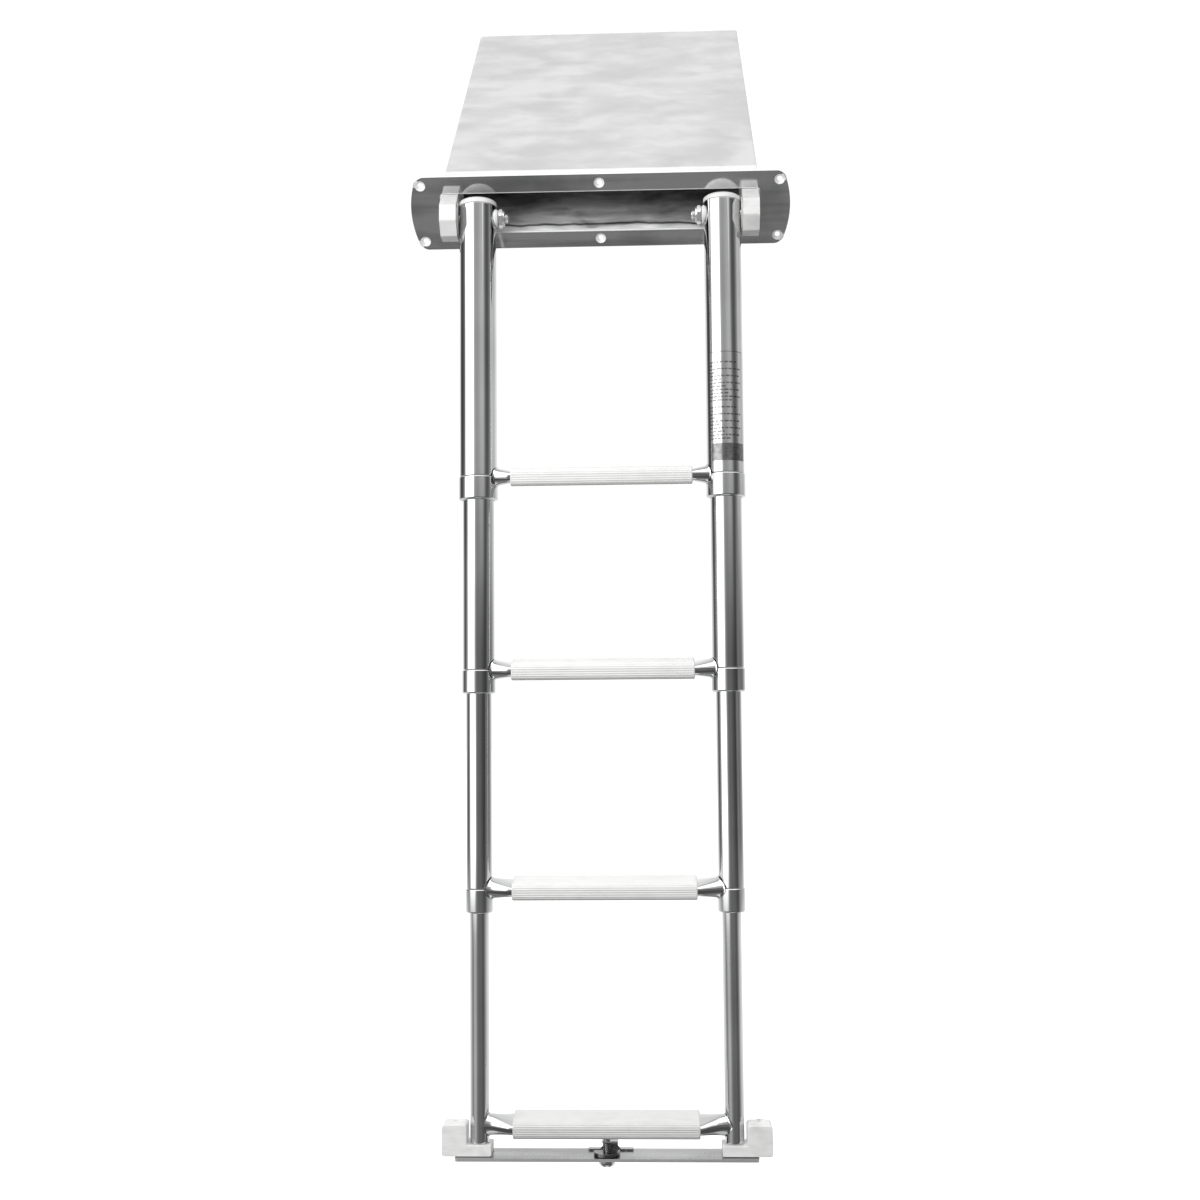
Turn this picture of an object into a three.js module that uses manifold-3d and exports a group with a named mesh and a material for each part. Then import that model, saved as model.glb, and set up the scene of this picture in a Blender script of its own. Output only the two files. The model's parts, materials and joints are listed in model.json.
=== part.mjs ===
// Telescoping boat boarding ladder: a drop ladder of four nested tube sections that hangs from a
// slide-in cassette behind a bolt-on flange. Millimetres, +Z up along the hanging rails, +X to the
// right, +Y into the boat. The origin is the centre of the flange's back face.
import * as THREE from 'three';
import { mergeVertices } from 'three/addons/utils/BufferGeometryUtils.js';
import Module from 'manifold-3d';

const wasm = await Module();
wasm.setup();

// Driving dimensions.
const CLEAR = 0.3; // gap between pieces that touch
const TILT = THREE.MathUtils.degToRad(42); // slope of the cassette above the horizontal
const WALL = 1.5; // every steel tube
const RAIL_X = 126; // rail centre line, either side
const TUBES = [38.1, 31.8, 25.4, 19.05]; // rail diameters, upper section to lower section
const RUNG_Z = [-269.5, -466, -684.5, -916]; // rung centre lines, from the swing pivot
const RAIL_TOP_Z = 12;
const CAP = { brim: 4, dome: 4.5 };
const RAIL_FOOT_Z = -933.2;

const FLANGE = { halfWidth: 197, halfHeight: 40, thick: 3, holeX: 185, holeZ: 30.5, hole: 5.2, sink: 10.4 };
const FLANGE_END = { straight: 17, turn: 9.5, inset: 6, rise: 9, bulge: 6 }; // curved ends, from the tips
const MOUTH = { halfWidth: 164, halfHeight: 21, corner: 1.5 }; // flange opening and cassette inside
const CASSETTE_LENGTH = 500;
const PIVOT_AHEAD = 15; // swing pivot, in front of the flange's front face

const BLOCK = { inner: 146.5, outer: 163.5, halfHeight: 20.5, chamfer: 11.5, tail: 45, corner: 3 };
const HEAD_SEAT = { depth: 7.5, radius: 10.5 }; // recess for the bolt head in a pivot block
const BOLT = { radius: 5, headRadius: 9.5, headThick: 6, tipX: 94.5 };
const NUT = { across: 17, inner: 98, outer: 104.4 };
const SADDLE = { radius: 10, inner: 104.8 };
const WASHER_RADIUS = 17;

const COLLAR = { height: 24, over: 0.8, round: 2.5, lip: 2 };
const BUSHING_LENGTH = 44;
const GLIDE_LENGTH = 20;

const RUNG = { halfDepth: 16.7, halfHeight: 6.5, square: 0.62, reach: 119 };
const RUNG_END = { depth: 12, height: 10.5, length: 6 }; // half sizes of the round end at a rail
const TREAD = { halfWidth: 92, halfDepth: 18.5, halfHeight: 9, corner: 6, tilt: 10 };

const FOOT = { inner: 113.5, step: 138, outer: 162.5, halfDepth: 13, shelf: 10.5, height: 30, corner: 3 };
const PLATE = { halfWidth: 149, halfDepth: 18.5, thick: 3, corner: 2.5 };
const FOOT_BOLT = { radius: 3, headRadius: 6, rise: 7 };

const LATCH = { y: -4, shaft: 2.3, knob: 8, dome: 8.4, rim: 3.6 };
const CAM = { radius: 13, back: 4, thick: 3, lift: 0.5 };
const RIVET = { over: 1.2, thick: 0.8 }; // headed end of the latch shaft
const BRACKET = { left: -4.5, right: 10.5, back: 10.5, front: -9, thick: 1.5, bridge: -931.6 };
const BRACKET_FOOT = { left: -19, right: 26, depth: 6.5 };
const SPRING = { radius: 3, wire: 0.4, turns: 4 };

const ROUND = 24; // facets round a rail
const SMALL = 16; // facets round a small piece
const SCREW = 12; // facets round a screw hole
const OVAL = 20; // facets round a rung

// Materials.
const polished = { color: 0xc8cacc, roughness: 0.12, metalness: 1 };
const nylon = { color: 0xf1f1ee, roughness: 0.45, metalness: 0 };
const vinyl = { color: 0xf4f4f1, roughness: 0.55, metalness: 0 };
const fastener = { color: 0xb4b6b8, roughness: 0.3, metalness: 1 };

// A closed solid of bare positions, with shared corners merged.
function closed(geometry) {
  const bare = geometry.clone();
  bare.deleteAttribute('normal');
  bare.deleteAttribute('uv');
  const merged = mergeVertices(bare, 1e-4);
  const index = Array.from(merged.index.array);
  const kept = [];
  for (let i = 0; i < index.length; i += 3) {
    const [a, b, c] = index.slice(i, i + 3);
    if (a !== b && b !== c && c !== a) kept.push(a, b, c);
  }
  merged.setIndex(kept);
  return merged;
}

function solid(geometry) {
  const shape = closed(geometry);
  const vertProperties = new Float32Array(shape.attributes.position.array);
  const triVerts = new Uint32Array(shape.index.array);
  return new wasm.Manifold(new wasm.Mesh({ numProp: 3, vertProperties, triVerts }));
}

function geometryOf(body) {
  const mesh = body.getMesh();
  const geometry = new THREE.BufferGeometry();
  geometry.setAttribute('position', new THREE.BufferAttribute(new Float32Array(mesh.vertProperties), 3));
  geometry.setIndex(new THREE.BufferAttribute(new Uint32Array(mesh.triVerts), 1));
  return geometry;
}

function cut(base, tools) {
  return geometryOf(tools.reduce((body, tool) => body.subtract(solid(tool)), solid(base)));
}

function join(first, second) {
  return geometryOf(solid(first).add(solid(second)));
}

// A solid of revolution about Z from [radius, z] pairs, outer side going up.
function turned(profile, facets = ROUND) {
  const points = profile.map(([r, z]) => new THREE.Vector2(r, z));
  return new THREE.LatheGeometry(points, facets).rotateX(Math.PI / 2);
}

// A ring: its profile closes on itself.
function ring(inner, outer, bottom, top, facets = ROUND) {
  return turned([[inner, bottom], [outer, bottom], [outer, top], [inner, top], [inner, bottom]], facets);
}

function rod(radius, bottom, top, facets = SMALL) {
  return turned([[0, bottom], [radius, bottom], [radius, top], [0, top]], facets);
}

// Turns a piece that stands along Z to lie along +X.
function alongX(geometry) {
  return geometry.rotateY(Math.PI / 2);
}

// A solid whose outline is drawn in Y and Z, reaching from one X to another.
function acrossX(shape, from, to, curveSegments = 6) {
  const depth = to - from;
  const geometry = new THREE.ExtrudeGeometry(shape, { depth, bevelEnabled: false, curveSegments });
  const basis = new THREE.Matrix4().makeBasis(
    new THREE.Vector3(0, 1, 0),
    new THREE.Vector3(0, 0, 1),
    new THREE.Vector3(1, 0, 0),
  );
  return geometry.applyMatrix4(basis).translate(from, 0, 0);
}

// A solid whose outline is drawn in X and Z, reaching from one Y forward to another.
function acrossY(shape, back, front, curveSegments = 6) {
  const depth = back - front;
  const geometry = new THREE.ExtrudeGeometry(shape, { depth, bevelEnabled: false, curveSegments });
  return geometry.rotateX(Math.PI / 2).translate(0, back, 0);
}

function roundedRectangle(halfWidth, halfHeight, corner, Kind = THREE.Shape) {
  const w = halfWidth;
  const h = halfHeight;
  const shape = new Kind();
  shape.moveTo(-w + corner, -h);
  shape.lineTo(w - corner, -h);
  shape.quadraticCurveTo(w, -h, w, -h + corner);
  shape.lineTo(w, h - corner);
  shape.quadraticCurveTo(w, h, w - corner, h);
  shape.lineTo(-w + corner, h);
  shape.quadraticCurveTo(-w, h, -w, h - corner);
  shape.lineTo(-w, -h + corner);
  shape.quadraticCurveTo(-w, -h, -w + corner, -h);
  return shape;
}

// The same piece on the other side of the middle plane.
function mirrored(geometry) {
  const other = closed(geometry).scale(-1, 1, 1);
  const index = other.index.array;
  for (let i = 0; i < index.length; i += 3) {
    [index[i], index[i + 1]] = [index[i + 1], index[i]];
  }
  return other;
}

function add(parent, name, geometry, look) {
  const mesh = new THREE.Mesh(closed(geometry), new THREE.MeshStandardMaterial(look));
  mesh.name = name;
  parent.add(mesh);
}

function addPair(parent, name, geometry, look) {
  add(parent, `${name}_right`, geometry, look);
  add(parent, `${name}_left`, mirrored(geometry), look);
}

const ladder = new THREE.Group();
const cassette = new THREE.Group(); // +Y runs into the cassette, +Z is up the flange
cassette.rotation.x = TILT;
ladder.add(cassette);

const pivotY = -FLANGE.thick - PIVOT_AHEAD;
const hanging = new THREE.Group(); // its origin is the swing pivot
hanging.position.set(0, pivotY * Math.cos(TILT), pivotY * Math.sin(TILT));
ladder.add(hanging);

// ---- Cassette: flange and box ----

function flangeOutline() {
  const { straight, turn, inset, rise, bulge } = FLANGE_END;
  const h = FLANGE.halfHeight;
  const w = FLANGE.halfWidth;
  const shape = new THREE.Shape();
  shape.moveTo(-w + straight, -h);
  shape.lineTo(w - straight, -h);
  shape.quadraticCurveTo(w - turn, -h, w - inset, -h + rise);
  shape.quadraticCurveTo(w + bulge, 0, w - inset, h - rise);
  shape.quadraticCurveTo(w - turn, h, w - straight, h);
  shape.lineTo(-w + straight, h);
  shape.quadraticCurveTo(-w + turn, h, -w + inset, h - rise);
  shape.quadraticCurveTo(-w - bulge, 0, -w + inset, -h + rise);
  shape.quadraticCurveTo(-w + turn, -h, -w + straight, -h);
  shape.holes.push(roundedRectangle(MOUTH.halfWidth, MOUTH.halfHeight, MOUTH.corner, THREE.Path));
  return shape;
}

// Six countersunk screw holes, their wide end at the flange's front face.
function flangeHoles() {
  const sinkDepth = (FLANGE.sink - FLANGE.hole) / 2;
  const tools = [];
  for (const x of [-FLANGE.holeX, 0, FLANGE.holeX]) {
    for (const z of [-FLANGE.holeZ, FLANGE.holeZ]) {
      const hole = turned([
        [0, -2],
        [FLANGE.hole / 2, -2],
        [FLANGE.hole / 2, FLANGE.thick - sinkDepth],
        [FLANGE.sink / 2 + 1, FLANGE.thick + 1],
        [0, FLANGE.thick + 1],
      ], SCREW);
      tools.push(hole.rotateX(Math.PI / 2).translate(x, 0, z));
    }
  }
  return tools;
}

add(cassette, 'flange_plate', cut(acrossY(flangeOutline(), 0, -FLANGE.thick), flangeHoles()), polished);

const boxCorner = MOUTH.corner + 1;
const boxOutline = roundedRectangle(MOUTH.halfWidth + WALL, MOUTH.halfHeight + WALL, boxCorner);
boxOutline.holes.push(roundedRectangle(MOUTH.halfWidth, MOUTH.halfHeight, MOUTH.corner, THREE.Path));
add(cassette, 'cassette_shell', acrossY(boxOutline, CASSETTE_LENGTH, CLEAR, 3), polished);

const rearOutline = roundedRectangle(MOUTH.halfWidth + WALL, MOUTH.halfHeight + WALL, boxCorner);
const rearFace = CASSETTE_LENGTH + CLEAR;
add(cassette, 'cassette_rear_panel', acrossY(rearOutline, rearFace + WALL, rearFace, 3), polished);

// ---- Swing pivots: sliding block, washers, bolt and nut, on the right side ----

function blockOutline() {
  const h = BLOCK.halfHeight;
  const nose = h - BLOCK.chamfer;
  const back = PIVOT_AHEAD + FLANGE.thick + BLOCK.tail;
  const c = BLOCK.corner;
  const shape = new THREE.Shape();
  shape.moveTo(-nose, -h);
  shape.lineTo(back - c, -h);
  shape.quadraticCurveTo(back, -h, back, -h + c);
  shape.lineTo(back, h - c);
  shape.quadraticCurveTo(back, h, back - c, h);
  shape.lineTo(-nose, h);
  shape.lineTo(-h, nose);
  shape.lineTo(-h, -nose);
  return shape;
}

const boltBore = alongX(rod(BOLT.radius + CLEAR, BOLT.tipX - 15, BLOCK.outer + 15));
const headBore = alongX(rod(HEAD_SEAT.radius, BLOCK.outer - HEAD_SEAT.depth, BLOCK.outer + 2));
const pivotBlock = cut(acrossX(blockOutline(), BLOCK.inner, BLOCK.outer, 4), [boltBore, headBore]);
addPair(cassette, 'pivot_block', pivotBlock.translate(0, pivotY, 0), nylon);

const railOuter = TUBES[0] / 2;
const railFace = RAIL_X + railOuter;
const washerBore = BOLT.radius + CLEAR;
const thrustWasher = ring(washerBore, WASHER_RADIUS, railFace + CLEAR, BLOCK.inner - CLEAR, SMALL);
addPair(hanging, 'thrust_washer', alongX(thrustWasher), nylon);

const headFace = BLOCK.outer - HEAD_SEAT.depth + CLEAR;
const boltHead = alongX(rod(BOLT.headRadius, headFace, headFace + BOLT.headThick, 6));
const boltShank = alongX(rod(BOLT.radius, BOLT.tipX, headFace + 1));
addPair(hanging, 'pivot_bolt', join(boltHead, boltShank), fastener);

const nutRadius = NUT.across / 2 / Math.cos(Math.PI / 6);
const nutBore = alongX(rod(BOLT.radius + CLEAR, NUT.inner - 5, NUT.outer + 5));
addPair(hanging, 'pivot_nut', cut(alongX(rod(nutRadius, NUT.inner, NUT.outer, 6)), [nutBore]), fastener);

const saddleSeat = rod(railOuter + CLEAR, -30, 30, ROUND).translate(RAIL_X, 0, 0);
const saddleBlank = alongX(rod(SADDLE.radius, SADDLE.inner, RAIL_X - 6));
addPair(hanging, 'saddle_washer', cut(saddleBlank, [saddleSeat, boltBore]), nylon);

// ---- Sections: rails, collars, bushings, rungs and treads ----

// Shapes a unit rod along X into the rung: a rounded oval that turns round towards the rails.
function rungBody(inset, reach, endDepth) {
  const flatEnd = TREAD.halfWidth + 1;
  const roundEnd = reach - RUNG_END.length;
  const half = [flatEnd, (flatEnd + roundEnd) / 2, roundEnd, reach];
  const stations = [...half.map((x) => -x).reverse(), ...half];
  const ends = [[0, -reach], ...stations.map((x) => [1, x]), [0, reach]];
  const body = alongX(turned(ends, OVAL));
  const place = body.attributes.position;
  for (let i = 0; i < place.count; i += 1) {
    const share = THREE.MathUtils.clamp((Math.abs(place.getX(i)) - flatEnd) / (roundEnd - flatEnd), 0, 1);
    const depth = THREE.MathUtils.lerp(RUNG.halfDepth, endDepth, share) - inset;
    const height = THREE.MathUtils.lerp(RUNG.halfHeight, RUNG_END.height, share) - inset;
    const power = THREE.MathUtils.lerp(RUNG.square, 1, share);
    const y = place.getY(i);
    const z = place.getZ(i);
    place.setY(i, Math.sign(y) * depth * Math.abs(y) ** power);
    place.setZ(i, Math.sign(z) * height * Math.abs(z) ** power);
  }
  return body;
}

const treadTilt = THREE.MathUtils.degToRad(TREAD.tilt);

// The steel rung, hollow, with each end cut to sit against the rail.
function rung(railRadius) {
  const endDepth = Math.min(RUNG_END.depth, railRadius - CLEAR);
  const mouth = railRadius + CLEAR;
  const saddle = rod(mouth, -40, 40, ROUND).translate(RAIL_X, 0, 0);
  const tools = [rungBody(WALL, RUNG.reach + 4, endDepth)];
  const hollow = cut(rungBody(0, RUNG.reach, endDepth), tools).rotateX(treadTilt);
  return cut(hollow, [saddle, mirrored(saddle)]);
}

// The vinyl tread sleeve, with an oval bore round the rung.
function tread() {
  const outline = roundedRectangle(TREAD.halfDepth, TREAD.halfHeight, TREAD.corner);
  const bore = rungBody(-CLEAR, RUNG.reach, RUNG_END.depth);
  return cut(acrossX(outline, -TREAD.halfWidth, TREAD.halfWidth, 4), [bore]).rotateX(treadTilt);
}

// The end ring welded under a rail: its lip keeps the bushing in.
function collar(level) {
  const outer = TUBES[level] / 2 + COLLAR.over;
  const inner = TUBES[level] / 2 - WALL;
  const lip = TUBES[level + 1] / 2 + CLEAR + 0.1;
  const top = RUNG_Z[level] - CLEAR;
  const bottom = RUNG_Z[level] - COLLAR.height;
  return turned([
    [lip, bottom],
    [outer - COLLAR.round, bottom],
    [outer, bottom + COLLAR.round],
    [outer, top],
    [inner, top],
    [inner, bottom + COLLAR.lip],
    [lip, bottom + COLLAR.lip],
    [lip, bottom],
  ]);
}

// Where the sleeves sit that guide the next rail down inside a rail.
function sleeveLevels(level) {
  const bushingFoot = RUNG_Z[level] - COLLAR.height + COLLAR.lip + CLEAR;
  const glideFoot = bushingFoot + BUSHING_LENGTH + CLEAR;
  return { bushingFoot, glideFoot, nextRailTop: glideFoot + GLIDE_LENGTH + 1 };
}

function sleeve(level, foot, length) {
  const outer = TUBES[level] / 2 - WALL - CLEAR;
  const inner = TUBES[level + 1] / 2 + CLEAR;
  return ring(inner, outer, foot, foot + length);
}

const SECTIONS = ['upper', 'second', 'third', 'lower'];
const railTops = [RAIL_TOP_Z, ...[0, 1, 2].map((level) => sleeveLevels(level).nextRailTop)];

function rail(level) {
  const outer = TUBES[level] / 2;
  const bore = outer - WALL;
  const top = railTops[level];
  if (level < 3) return ring(bore, outer, RUNG_Z[level], top);
  const bolt = FOOT_BOLT.radius + CLEAR;
  const disc = RAIL_FOOT_Z + 3; // the welded disc that the foot bolt screws into
  const foot = RAIL_FOOT_Z;
  return turned([
    [bolt, foot],
    [outer, foot],
    [outer, top],
    [bore, top],
    [bore, disc],
    [bolt, disc],
    [bolt, foot],
  ]);
}

SECTIONS.forEach((section, level) => {
  const tube = rail(level).translate(RAIL_X, 0, 0);
  addPair(hanging, `${section}_rail`, level === 0 ? cut(tube, [boltBore]) : tube, polished);

  const over = level < 3 ? COLLAR.over : 0;
  const rungPlace = RUNG_Z[level];
  add(hanging, `${section}_rung`, rung(TUBES[level] / 2 + over).translate(0, 0, rungPlace), polished);
  add(hanging, `${section}_tread`, tread().translate(0, 0, rungPlace), vinyl);

  if (level === 3) return;
  const { bushingFoot, glideFoot } = sleeveLevels(level);
  addPair(hanging, `${section}_collar`, collar(level).translate(RAIL_X, 0, 0), polished);
  const bushing = sleeve(level, bushingFoot, BUSHING_LENGTH).translate(RAIL_X, 0, 0);
  addPair(hanging, `${section}_bushing`, bushing, nylon);
  const glide = sleeve(level, glideFoot, GLIDE_LENGTH).translate(RAIL_X, 0, 0);
  addPair(hanging, `${SECTIONS[level + 1]}_glide_ring`, glide, nylon);
});

// Domed plug in the open top of each upper rail.
const plugRadius = railOuter - WALL - CLEAR;
const capSeat = RAIL_TOP_Z + CLEAR;
const railCap = turned([
  [0, BOLT.radius + 1],
  [plugRadius, BOLT.radius + 1],
  [plugRadius, capSeat],
  [railOuter, capSeat],
  [railOuter, capSeat + CAP.brim],
  [railOuter * 0.7, capSeat + CAP.brim + CAP.dome * 0.75],
  [0, capSeat + CAP.brim + CAP.dome],
]);
addPair(hanging, 'rail_cap', railCap.translate(RAIL_X, 0, 0), nylon);

// ---- Foot: end blocks, closing plate and their bolts ----

const shelfTop = RAIL_FOOT_Z - CLEAR;
const blockFoot = shelfTop - FOOT.shelf;
const plateTop = blockFoot - CLEAR;
const plateFoot = plateTop - PLATE.thick;

function footOutline() {
  const c = FOOT.corner;
  const top = blockFoot + FOOT.height;
  const shape = new THREE.Shape();
  shape.moveTo(FOOT.inner + 1, blockFoot);
  shape.lineTo(FOOT.outer - c, blockFoot);
  shape.quadraticCurveTo(FOOT.outer, blockFoot, FOOT.outer, blockFoot + c);
  shape.lineTo(FOOT.outer, top - c);
  shape.quadraticCurveTo(FOOT.outer, top, FOOT.outer - c, top);
  shape.lineTo(FOOT.step + c, top);
  shape.quadraticCurveTo(FOOT.step, top, FOOT.step, top - c);
  shape.lineTo(FOOT.step, shelfTop + c);
  shape.quadraticCurveTo(FOOT.step, shelfTop, FOOT.step - c, shelfTop);
  shape.lineTo(FOOT.inner + 1, shelfTop);
  shape.quadraticCurveTo(FOOT.inner, shelfTop, FOOT.inner, shelfTop - 1);
  shape.lineTo(FOOT.inner, blockFoot + 1);
  shape.quadraticCurveTo(FOOT.inner, blockFoot, FOOT.inner + 1, blockFoot);
  return shape;
}

const footBore = rod(FOOT_BOLT.radius + CLEAR, plateFoot - 5, shelfTop + 5).translate(RAIL_X, 0, 0);
const footBlock = cut(acrossY(footOutline(), FOOT.halfDepth, -FOOT.halfDepth, 4), [footBore]);
addPair(hanging, 'foot_block', footBlock, nylon);

const sinkDepth = FOOT_BOLT.headRadius - FOOT_BOLT.radius;
const footSink = turned([
  [0, plateFoot - 1],
  [FOOT_BOLT.headRadius + CLEAR + 1, plateFoot - 1],
  [FOOT_BOLT.radius + CLEAR, plateFoot + sinkDepth],
  [0, plateFoot + sinkDepth],
], SMALL).translate(RAIL_X, 0, 0);

const knobBore = rod(LATCH.shaft + CLEAR, plateFoot - 5, plateTop + 5).translate(0, LATCH.y, 0);
const plateOutline = roundedRectangle(PLATE.halfWidth, PLATE.halfDepth, PLATE.corner);
const plateBlank = new THREE.ExtrudeGeometry(plateOutline, {
  depth: PLATE.thick,
  bevelEnabled: false,
  curveSegments: 3,
}).translate(0, 0, plateFoot);
const plateTools = [footBore, mirrored(footBore), footSink, mirrored(footSink), knobBore];
add(hanging, 'closing_plate', cut(plateBlank, plateTools), polished);

const footBolt = turned([
  [0, plateFoot + 0.1],
  [FOOT_BOLT.headRadius, plateFoot + 0.1],
  [FOOT_BOLT.radius, plateFoot + 0.1 + sinkDepth],
  [FOOT_BOLT.radius, RAIL_FOOT_Z + FOOT_BOLT.rise],
  [0, RAIL_FOOT_Z + FOOT_BOLT.rise],
], SMALL).translate(RAIL_X, 0, 0);
addPair(hanging, 'foot_bolt', footBolt, fastener);

// ---- Latch: knob with shaft, cam, spring and the bracket that carries them ----

// Web and bridge of the bracket, seen from the side.
function bracketOutline() {
  const { back, front, thick, bridge } = BRACKET;
  const seat = plateTop + CLEAR;
  const shape = new THREE.Shape();
  shape.moveTo(back, seat);
  shape.lineTo(back + thick, seat);
  shape.lineTo(back + thick, bridge + thick);
  shape.lineTo(front, bridge + thick);
  shape.lineTo(front, bridge);
  shape.lineTo(back, bridge);
  return shape;
}

const bracketWeb = acrossX(bracketOutline(), BRACKET.left, BRACKET.right);
const footLength = BRACKET_FOOT.right - BRACKET_FOOT.left;
const footMiddle = (BRACKET_FOOT.right + BRACKET_FOOT.left) / 2;
const bracketFoot = new THREE.BoxGeometry(footLength, BRACKET_FOOT.depth, BRACKET.thick);
const footY = BRACKET.back + BRACKET_FOOT.depth / 2;
bracketFoot.translate(footMiddle, footY, plateTop + CLEAR + BRACKET.thick / 2);
const shaftBore = rod(LATCH.shaft + CLEAR, BRACKET.bridge - 5, BRACKET.bridge + 5);
const bracket = cut(join(bracketWeb, bracketFoot), [shaftBore.translate(0, LATCH.y, 0)]);
add(hanging, 'latch_bracket', bracket, polished);

// Domed knob under the plate, its shaft and the shaft's riveted end above the bridge.
const knobTop = plateFoot - CLEAR;
const domeTop = knobTop - LATCH.rim;
const domeSteps = 4;
const knobProfile = [[0, knobTop - LATCH.dome]];
for (let step = 1; step <= domeSteps; step += 1) {
  const angle = (step / domeSteps) * (Math.PI / 2);
  const drop = (LATCH.dome - LATCH.rim) * Math.cos(angle);
  knobProfile.push([LATCH.knob * Math.sin(angle), domeTop - drop]);
}
const rivetFoot = BRACKET.bridge + BRACKET.thick + CLEAR;
knobProfile.push(
  [LATCH.knob, knobTop],
  [LATCH.shaft, knobTop],
  [LATCH.shaft, rivetFoot],
  [LATCH.shaft + RIVET.over, rivetFoot],
  [LATCH.shaft + RIVET.over, rivetFoot + RIVET.thick],
  [0, rivetFoot + RIVET.thick],
);
add(hanging, 'latch_knob', turned(knobProfile, SMALL).translate(0, LATCH.y, 0), fastener);

// Half-round cam, its round side to the front while the latch is open.
const camFoot = plateTop + CAM.lift;
const camOutline = new THREE.Shape();
camOutline.moveTo(-CAM.radius, CAM.back);
camOutline.lineTo(-CAM.radius, 0);
camOutline.absarc(0, 0, CAM.radius, Math.PI, Math.PI * 2, false);
camOutline.lineTo(CAM.radius, CAM.back);
const camBlank = new THREE.ExtrudeGeometry(camOutline, {
  depth: CAM.thick,
  bevelEnabled: false,
  curveSegments: 14,
}).translate(0, 0, camFoot);
const camBore = rod(LATCH.shaft + CLEAR, camFoot - 5, camFoot + 10);
add(hanging, 'latch_cam', cut(camBlank, [camBore]).translate(0, LATCH.y, 0), fastener);

// Compression spring between the cam and the bridge.
class Helix extends THREE.Curve {
  getPoint(share, target = new THREE.Vector3()) {
    const angle = share * SPRING.turns * Math.PI * 2;
    const foot = camFoot + CAM.thick + CLEAR + SPRING.wire;
    const rise = BRACKET.bridge - CLEAR - SPRING.wire - foot;
    const x = SPRING.radius * Math.cos(angle);
    const y = SPRING.radius * Math.sin(angle);
    return target.set(x, y, foot + rise * share);
  }
}

const wire = new THREE.Shape();
wire.absarc(0, 0, SPRING.wire, 0, Math.PI * 2, false);
const springTurns = new THREE.ExtrudeGeometry(wire, {
  steps: 9 * SPRING.turns,
  curveSegments: 3,
  bevelEnabled: false,
  extrudePath: new Helix(),
});
add(hanging, 'latch_spring', springTurns.translate(0, LATCH.y, 0), fastener);

export default ladder;
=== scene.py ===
import json
import math

import bmesh
import bpy
from mathutils import Matrix, Vector


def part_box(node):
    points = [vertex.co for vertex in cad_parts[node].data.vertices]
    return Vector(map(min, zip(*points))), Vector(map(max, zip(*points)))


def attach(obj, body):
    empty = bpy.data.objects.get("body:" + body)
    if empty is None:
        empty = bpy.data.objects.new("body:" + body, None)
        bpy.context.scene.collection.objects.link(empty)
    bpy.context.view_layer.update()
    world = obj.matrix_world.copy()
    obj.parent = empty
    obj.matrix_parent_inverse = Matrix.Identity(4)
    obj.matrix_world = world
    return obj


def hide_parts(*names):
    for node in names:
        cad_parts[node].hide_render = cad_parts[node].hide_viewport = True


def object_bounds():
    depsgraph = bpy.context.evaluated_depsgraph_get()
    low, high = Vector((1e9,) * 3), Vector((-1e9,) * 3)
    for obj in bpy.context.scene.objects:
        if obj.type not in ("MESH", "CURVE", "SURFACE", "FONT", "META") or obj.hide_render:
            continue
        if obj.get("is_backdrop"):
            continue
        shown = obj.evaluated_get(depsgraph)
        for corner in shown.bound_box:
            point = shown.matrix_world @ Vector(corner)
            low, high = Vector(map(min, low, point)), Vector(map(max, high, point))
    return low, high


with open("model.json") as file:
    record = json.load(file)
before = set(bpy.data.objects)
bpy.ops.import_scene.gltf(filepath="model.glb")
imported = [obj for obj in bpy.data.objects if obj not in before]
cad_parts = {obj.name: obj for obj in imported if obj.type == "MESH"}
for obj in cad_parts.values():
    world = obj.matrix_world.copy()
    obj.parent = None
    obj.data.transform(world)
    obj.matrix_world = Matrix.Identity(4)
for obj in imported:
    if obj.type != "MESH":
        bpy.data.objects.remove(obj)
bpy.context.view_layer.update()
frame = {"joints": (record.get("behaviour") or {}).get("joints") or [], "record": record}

# Lengths in this script are millimetres until a mesh is made; Blender's own values are metres.
MM = 0.001
ROUND = 128  # facets round a rail
SMALL = 64  # facets round a small turned piece


def at(x, y, z=0):
    return Matrix.Translation((x, y, z))


joints = {joint["name"]: joint for joint in frame["joints"]}
mounts = {mount["name"]: mount for mount in frame["record"]["mounts"]}
PIVOT = Vector(joints["ladder_swing"]["pos_m"]) / MM
LATCH = Vector(joints["latch_turn"]["pos_m"]) / MM
into_cassette = mounts["cassette_hang"]["axis"]
TILT = math.atan2(into_cassette[2], into_cassette[1])
CASSETTE = Matrix.Rotation(TILT, 4, "X")  # local +Y runs into the cassette, +Z up the flange
HERE = Matrix.Identity(4)
LATCH_AXIS = at(0, LATCH.y)

SECTIONS = ("upper", "second", "third", "lower")
BODIES = {section: f"{section}_section" for section in SECTIONS}
SIDES = {"right": 1, "left": -1}
TREAD_TILT = math.radians(10)


def box_mm(node):
    """Lowest and highest corners of a CAD node, in millimetres."""
    low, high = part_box(node)
    return low / MM, high / MM


# ---- Outlines ----


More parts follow.
